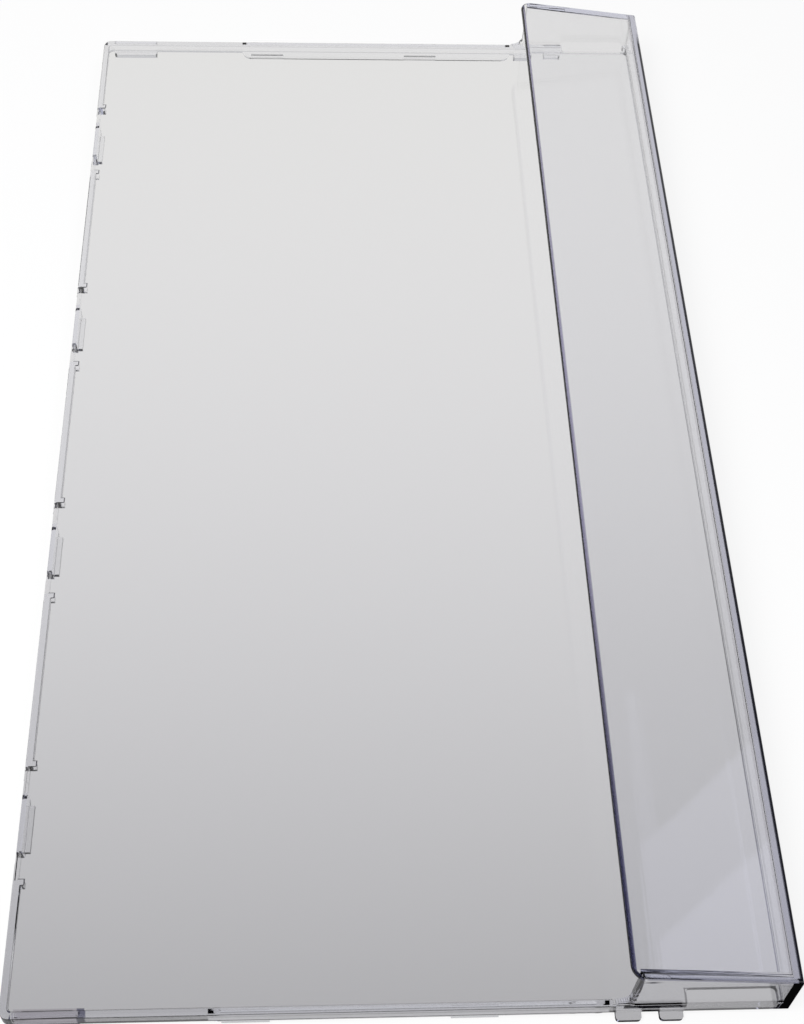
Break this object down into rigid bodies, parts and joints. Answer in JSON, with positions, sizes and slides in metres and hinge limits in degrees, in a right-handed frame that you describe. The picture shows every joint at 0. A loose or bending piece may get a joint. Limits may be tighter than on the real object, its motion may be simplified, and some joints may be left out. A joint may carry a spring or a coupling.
{
  "type": "freezer drawer front",
  "caption": "Clear one-piece drawer front: a flat panel with a shallow rear rim, snap tongues and hook feet, and an overhanging hood along the top edge that forms the grip.",
  "frame": {"origin": "centre of the plane that the feet of the back rest on", "axes": "+X along the length, +Y up the front towards the hood, +Z out of the front face"},
  "size_m": [0.4562, 0.247, 0.0348],
  "materials": {
    "clear_plastic": "clear, glossy"
  },
  "bodies": {
    "root": {"drawer_front": "clear_plastic"}
  },
  "joints": []
}
